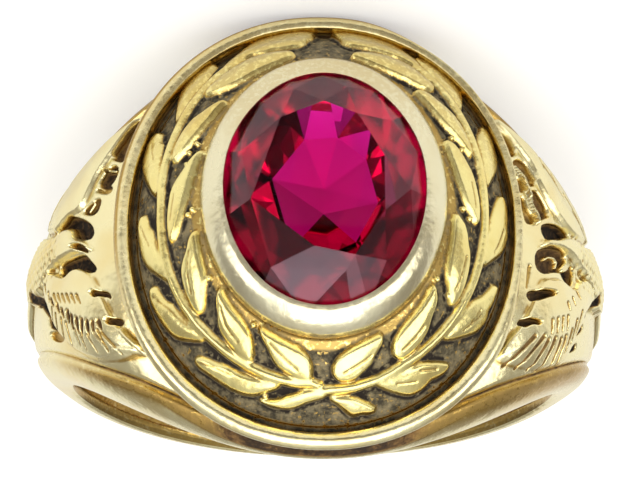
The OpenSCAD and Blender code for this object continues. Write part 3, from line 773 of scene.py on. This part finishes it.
right_leaves = [
    [(6, .535), (4.2, .6), (3.6, .67), (4.6, .76), (7, .83), (11, .89), (17, .925), (26.5, .95),
     (25, .84), (22, .775), (20, .73), (18.8, .665), (16, .62), (13, .57), (11, .53)],
    [(29, .56), (27, .65), (28, .73), (30, .8), (34, .86), (40, .895), (48, .91), (56.5, .95), (54, .83),
     (51, .755), (47, .715), (44.7, .67), (42.2, .625), (38.5, .59), (34, .563)],
    [(57, .555), (54.8, .62), (57, .69), (59.5, .75), (61.5, .84), (67, .9), (76, .94), (85.8, .965),
     (84.3, .86), (82.5, .78), (79.5, .72), (76.8, .69), (74.6, .635), (71, .6), (65.5, .565)],
    [(86, .555), (84.8, .63), (88, .71), (90.5, .79), (96, .86), (105, .92), (115.3, .94), (113.8, .83),
     (112, .77), (108.5, .71), (104.8, .66), (102, .615), (97, .585), (91, .555)],
    [(108.5, .515), (108.5, .575), (113, .645), (116.5, .71), (121, .79), (128, .85), (139.5, .875),
     (137, .76), (135.2, .69), (131.2, .645), (128, .59), (124.5, .535), (120, .505), (114, .495)],
    [(136, .46), (135.8, .56), (137.5, .68), (142, .745), (147, .82), (153, .88), (162, .89),
     (169.5, .86), (168, .76), (165, .69), (161.2, .62), (157.8, .555), (154.3, .5), (150, .46),
     (145, .435)],
    [(17.5, .44), (24, .455), (30, .44), (35, .41), (37.5, .365), (40, .305), (42, .25), (44, .185),
     (43, .152), (40.5, .148), (38, .165), (36, .188), (33.5, .158), (30, .152), (27, .185), (24, .26),
     (21, .335)],
    [(45.5, .44), (48, .365), (51, .295), (54, .225), (57, .155), (60, .122), (62.5, .113), (64.5, .14),
     (67, .118), (70.5, .11), (73.2, .125), (72, .185), (69.5, .23), (66.5, .275), (64.5, .335),
     (62, .39), (55, .43)],
    [(73.5, .42), (76, .34), (79, .25), (82, .15), (85, .1), (87.5, .073), (89.5, .088), (92, .066),
     (95, .063), (97.7, .1), (98.4, .165), (96, .23), (93, .295), (90.5, .345), (87, .385), (80, .42)],
    [(98.5, .39), (101, .305), (103.5, .21), (106, .125), (109, .062), (112, .043), (114.5, .008),
     (117.5, -.005), (120.2, .02), (121, .075), (119, .155), (117, .235), (114.5, .3), (110, .35),
     (104, .38)],
    [(126, .31), (128, .205), (130.5, .09), (133, -.01), (136, -.03), (146, -.03), (150, -.01),
     (151.5, .06), (149.5, .13), (146, .19), (142.5, .235), (137.5, .29)],
    [(147, .33), (153.5, .35), (155.5, .39), (159, .435), (163, .47), (167, .53), (171.5, .54),
     (174, .44), (175, .3), (177.3, .12), (178.2, -.04), (159, -.04), (156.5, .01), (153.5, .08),
     (150.5, .14), (146, .2)],
    [(1, .47), (-5, .445), (-8, .385), (-11, .34), (-13, .285), (-16, .25), (-19.7, .228), (-17, .203),
     (-12, .198), (-8.5, .22), (-6, .27), (-3, .325), (2, .375)]]
left_stem = [(-1, .47), (3, .52), (8, .50), (20, .497), (40, .495), (50, .475), (60, .46), (70, .45),
             (90, .45), (100, .43), (110, .42), (120, .41), (130, .39), (140, .375), (150, .36)]
right_stem = [(-2, .42), (3, .45), (10, .45), (20, .465), (30, .495), (40, .49), (50, .48), (60, .475),
              (70, .46), (80, .455), (90, .45), (100, .44), (110, .42), (120, .39), (130, .36), (140, .34),
              (150, .28)]
left_veins = [[(41.5, .22), (36, .30), (30, .34)], [(66, .19), (60, .30), (50, .40)],
              [(87, .19), (80, .30)], [(112, .12), (106, .25)], [(9, .66), (15, .76), (22, .86)],
              [(33, .68), (40, .74), (46, .84)], [(57, .64), (64, .72), (70, .82)], [(84, .64), (92, .70)]]
right_veins = [[(8, .64), (13, .70), (19, .76)], [(31, .66), (36, .685), (42, .72)],
               [(60, .665), (65, .685), (72, .705)], [(25, .36), (31, .285)], [(53, .33), (61, .235)],
               [(57, .30), (62, .27)], [(90, .65), (98, .69)], [(34, .35), (39, .26)], [(80, .30), (88, .18)]]
# Small lumps of metal left in the ground, between the inner leaves.
lumps = [(-57.5, .90), (-83.7, .86), (-85, .93), (-111.3, .84), (-107.5, .77), (-103, .78), (-31, .93),
         (57.3, .69), (58.5, .92), (88.5, .80), (86, .70), (115.6, .76), (111, .66), (-17.5, .275)]
leaf_rise, leaf_crown, stem_rise, lump_rise = 0.29, 0.06, 0.30, 0.22
stem_half_w, lump_half_w = 0.235, 0.13
vein_half_w, vein_depth = 0.045, 0.055


def field(a, s, lift=0.0):
    """A place on the field: an oval whose half sizes and height go straight from the rim's to the
    collar's foot, swelled by a sine in between. A lift goes partly outwards and partly up."""
    half_w = (1 - s) * (head_w / 2 - rim_inset) + s * (stone_w / 2 + foot_out)
    half_l = (1 - s) * (head_l / 2 - rim_inset) + s * (stone_l / 2 + foot_out)
    z = field_low + (field_high - field_low) * s + field_swell * np.sin(np.pi * np.clip(s, 0, 1))
    return oval(a, half_w + 0.6 * lift, half_l + 0.6 * lift, z + 0.8 * lift, oval_power - 0.1 * s)


def field_mm(a, s):
    """Millimetres per degree and per share round a place on the field, as plain differences."""
    return np.array([np.linalg.norm(field(a + 1, s) - field(a - 1, s)) / 2,
                     np.linalg.norm(field(a, s + 0.05) - field(a, s - 0.05)) / 0.1])


a_field = np.linspace(-180, 180, 1140, endpoint=False)
s_field = np.linspace(-0.04, 1.0, 82)[:, None]


def reached_by(places):
    """The columns of the field that a leaf or a stem can reach, and the field's millimetres there."""
    near = np.abs(a_field - places[:, 0].mean()) < np.ptp(places[:, 0]) / 2 + 6
    return near, field_mm(*places.mean(0))


def leaf(corners, way):
    """Columns and height of one leaf: a steep side, and a crown that rises a little to its middle."""
    places = np.array(corners) * [way, 1]
    near, scale = reached_by(places)
    inside = depth_in(a_field[near] * scale[0], s_field * scale[1], outline_of(places * scale))
    return near, leaf_rise * soft_step(inside, -0.08, 0.04) + leaf_crown * soft_step(inside, 0, 0.5)


def branch(stem, way):
    """Columns and height of one stem: nearly a half round, let down softly at both ends."""
    places = np.array(stem) * [way, 1]
    near, scale = reached_by(places)
    along = way * a_field[near]
    first, last = stem[0][0], stem[-1][0]
    ends = soft_step(along, first - 1, first + 2) * soft_step(along, last + 4, last - 4)
    off = np.abs(s_field - np.interp(along, *np.transpose(stem))) * scale[1]
    return near, stem_rise * ends * rounded(off, stem_half_w, 3)


relief = np.zeros((len(s_field), len(a_field)))
shade = np.zeros(relief.shape)
for way, leaves, stem, veins in ((-1, left_leaves, left_stem, left_veins),
                                 (1, right_leaves, right_stem, right_veins)):
    for near, height in [leaf(corners, way) for corners in leaves] + [branch(stem, way)]:
        relief[:, near] = np.maximum(relief[:, near], height)
    relief = softened(relief, 1)
    for vein in veins:
        places = np.array(vein) * [way, 1]
        scale = field_mm(*places.mean(0))
        cut = bell(off_line(a_field * scale[0], s_field * scale[1], places * scale), 0, vein_half_w)
        relief -= vein_depth * cut
        shade = np.maximum(shade, 0.35 * cut)
for a_lump, s_lump in lumps:
    scale = field_mm(a_lump, s_lump)
    off = np.hypot((a_field - a_lump) * scale[0], (s_field - s_lump) * scale[1])
    relief = np.maximum(relief, lump_rise * rounded(off, lump_half_w))

# The ground is dark, most at the leaves' edges, where painted shade adds to it, and less at the collar's foot
# and along the rim. The leaves get painted shade in their hollows and veins, and at the far end all over.
hollow = softened(relief, 4) - relief
ground = soft_step(relief, 0.15, 0.05)
edge = soft_step(hollow, 0.02, 0.07)
dark_ground_and_edge_shade = ground * (0.80 + 0.26 * edge) * (1 - 0.45 * soft_step(s_field, 0.84, 0.92))
tarnish = np.maximum.reduce([dark_ground_and_edge_shade, 0.42 * edge, shade]) * (1 - 0.6 * bell(s_field, 0.05, 0.016))
tarnish = np.maximum(tarnish, 0.19 * soft_step(-np.cos(np.radians(a_field)), -0.1, 0.8))
# Under the collar the field closes down its seat and round the light hole.
seat_w, seat_l = stone_w / 2 + 0.31, stone_l / 2 + 0.31
hole_w, hole_l = light_hole_w + 0.02, light_hole_l + 0.02
under_w, under_l, under_z = head_w / 2 - 0.6, head_l / 2 - 0.6, finger_r + 0.4
closing = np.stack([oval(a_field, w, l, z) for w, l, z in (
    (seat_w, seat_l, field_high), (seat_w, seat_l, recess_z), (hole_w, hole_l, recess_z),
    (hole_w, hole_l, under_z), (under_w, under_l, under_z))])
wreath = skinned("wreath", np.concatenate([field(a_field, s_field, relief), closing]),
                 tarnish=np.concatenate([tarnish, np.full(closing.shape[:2], 0.5)]))
wreath.data.materials.append(gold("wreath_gold", (0.92, 0.80, 0.34), (0.84, 0.66, 0.22), specks=0.6,
                                  crust_and_shade_tones=((0.05, 0.041, 0.024), (0.32, 0.26, 0.14))))
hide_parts("ring_body")
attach(wreath, "root")


# Collar: a plain cup of paler gold, turned up apart and pressed into its seat. Its lip is rubbed
# over the edge of the stone and polished.
girdle_up = 4.95
girdle_z = finger_r + girdle_up
cup_z, step_z = 2.39 - girdle_up, 4.14 - girdle_up
rubbed = 0.17
# Section of the cup: how far outside the stone's edge, and how high over its girdle.
collar_rows = np.array([
    [-0.70, cup_z], [0.27, cup_z], [0.27, step_z], [0.50, step_z], [0.57, -0.70], [0.54, -0.42],
    [0.42, -0.10], [0.20, 0.20], [-0.12, 0.42], [-0.27, 0.46], [-0.30, 0.38], [0.05, 0.08],
    [0.05, -0.14], [-0.28, -0.54], [-0.50, -0.90], [-0.70, cup_z]])
a_collar = np.linspace(0, 360, 400, endpoint=False)
lip = through_rows(collar_rows, np.linspace(0, len(collar_rows) - 1, 150, endpoint=False))[:, None]
lip_out, lip_z = lip[..., 0], lip[..., 1]
far = -np.cos(np.radians(a_collar))
# At the far end the lip is rubbed a little further over the stone.
reach = lip_out - rubbed * soft_step(far, 0.2, 1.0) * soft_step(lip_z, 0.12, 0.37)
# The cup is brown at its foot in the seat, and its far side gets a little painted shade.
foot_brown = 0.6 * soft_step(lip_z, -0.66, -0.76)
collar = skinned("collar", oval(a_collar, stone_w / 2 + reach, stone_l / 2 + reach, girdle_z + lip_z),
                 tarnish=np.maximum(foot_brown, 0.10 * soft_step(far, 0, 0.8)))
collar.data.materials.append(gold("collar_gold", (0.82, 0.76, 0.52), (0.74, 0.65, 0.40)))
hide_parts("bezel_collar")
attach(collar, "root")


# Stone: an oval brilliant in deep red, a little uneven as cut by hand. Table, stars and kites lie
# over sixteen steep facets, and the pavilion below closes in a short keel.
# Corners are degrees from the near end, and the share of the stone's own half sizes.
table_corners = [(-10, .56), (24, .67), (64, .60), (108, .56), (150, .58), (182, .60), (222, .62), (286, .70)]
star_corners = [(15, .74), (42, .83), (86, .78), (129, .78), (166, .78), (202, .79), (254, .80), (325, .84)]
pavilion_corners = [(8, .45), (40, .46), (86, .50), (129, .50), (166, .50), (202, .50), (254, .50),
                    (325, .50)]
table_z, upper_z = girdle_z + 1.25, girdle_z + 0.36
upper_share, girdle_t = 0.90, 0.10
star_slope, star_drop = 25.0, 0.45
pavilion_z, keel_z, keel_half = girdle_z - 2.45, girdle_z - 3.2, 0.5


def gem_ring(corners, z):
    """Corners on an oval of the stone's own half sizes: angle from the near end, and share."""
    a, share = np.radians(np.array(corners, float)[:, 0]), np.array(corners, float)[:, 1]
    return np.stack([stone_w / 2 * share * np.sin(a), -stone_l / 2 * share * np.cos(a), z + 0 * a], -1)


table_ring, star_ring = gem_ring(table_corners, table_z), gem_ring(star_corners, table_z)
# Each star falls from its edge of the table at one slope, but no deeper than star_drop.
table_edge = np.roll(table_ring, -1, axis=0) - table_ring
off_edge = np.cross(star_ring - table_ring, table_edge)[:, 2] / np.linalg.norm(table_edge, axis=1)
star_ring[:, 2] -= np.minimum(star_drop, np.abs(off_edge) * np.tan(np.radians(star_slope)))
girdle_angles = sorted([a for a, _ in table_corners + star_corners])
gem_points = np.concatenate([
    table_ring,
    star_ring,
    gem_ring([(a, upper_share) for a in girdle_angles], upper_z),
    gem_ring([(a, 1.0) for a in girdle_angles], girdle_z),
    gem_ring([(a, 1.0) for a in girdle_angles], girdle_z - girdle_t),
    gem_ring(pavilion_corners, pavilion_z),
    [[0, -keel_half, keel_z], [0, keel_half, keel_z]]])
# The facets are the flat sides of the tightest skin round these points.
gem = bmesh.new()
made = bmesh.ops.convex_hull(gem, input=[gem.verts.new(p) for p in laid(gem_points)])
spare = [v for v in made["geom_interior"] if isinstance(v, bmesh.types.BMVert)]
bmesh.ops.delete(gem, geom=spare, context="VERTS")
bmesh.ops.dissolve_limit(gem, angle_limit=np.radians(0.5), verts=gem.verts, edges=gem.edges)
bmesh.ops.recalc_face_normals(gem, faces=gem.faces)
gem_mesh = bpy.data.meshes.new("ruby")
gem.to_mesh(gem_mesh)
gem.free()


def of_facets(what):
    """The normal or the middle of every facet."""
    values = np.zeros(3 * len(gem_mesh.polygons))
    gem_mesh.polygons.foreach_get(what, values)
    return values.reshape(-1, 3)


def keep_on_facets(name, values):
    """Keeps a number for every facet, for the material."""
    gem_mesh.attributes.new(name, "FLOAT", "FACE").data.foreach_set("value", values)


# Painted reflection, facet by facet: the table mirrors less than the facets round it, and the kites at the
# near end mirror most.
facing = of_facets("normal") @ ring_axes.T
middles = (of_facets("center") - hole_middle) @ ring_axes.T / MM
is_table = facing[:, 2] > 0.99
kites_y, gap_x, gap_half_w = -2.9, 0.55, 0.55
near_end = middles[:, 1] < kites_y
between_kites = near_end & (np.abs(middles[:, 0] - gap_x) < gap_half_w)
flank = (np.abs(facing[:, 0]) > 0.34) & (facing[:, 1] < -0.10)
keep_on_facets("painted_reflection", np.select([is_table, between_kites, flank, near_end], [0.08, 0.2, 0.35, 1.0], 0.72))
# Table and pavilion are clear. The crown is clearer on the left than on the right.
crown_clear = np.interp(middles[:, 0], [-3.0, 3.0], [0.78, 0.14])
keep_on_facets("clear", np.where(is_table | (facing[:, 2] < 0), 1.0, crown_clear))
ruby = bpy.data.objects.new("ruby", gem_mesh)
bpy.context.scene.collection.objects.link(ruby)

clear_tint, painted_reflection_tint = (0.95, 0.60, 0.82, 1), (1.0, 0.74, 0.86, 1)
red_stone, tree, shader = new_material("red_stone")
clear = node(tree, "Attribute", attribute_name="clear").outputs["Fac"]
# Each facet's painted reflection scales its specular tint.
painted_reflection = node(tree, "Attribute", attribute_name="painted_reflection").outputs["Fac"]
feed(tree, blend(tree, clear, BLACK, clear_tint), shader.inputs["Base Color"])
feed(tree, blend(tree, painted_reflection, BLACK, painted_reflection_tint), shader.inputs["Specular Tint"])
shader.inputs["IOR"].default_value = 1.76
shader.inputs["Transmission Weight"].default_value = 1.0
depth = node(tree, "VolumeAbsorption", Color=(0.958, 0.0, 0.775, 1), Density=1377.0)
feed(tree, depth.outputs["Volume"], tree.nodes["Material Output"].inputs["Volume"])
# Fine scuffs dull the whole stone a little, and the crown is hazy where it is less clear.
scuffs = mapped(tree, noise(tree, node(tree, "TexCoord").outputs["Object"], 3000.0, 3.0),
                From_Min=0.5, From_Max=0.8, To_Max=0.05)
haze = mapped(tree, clear, From_Min=0.7, To_Min=0.2, To_Max=0.0)
feed(tree, counted(tree, "ADD", scuffs, haze), shader.inputs["Roughness"])
ruby.data.materials.append(red_stone)
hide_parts("oval_ruby")
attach(ruby, "root")
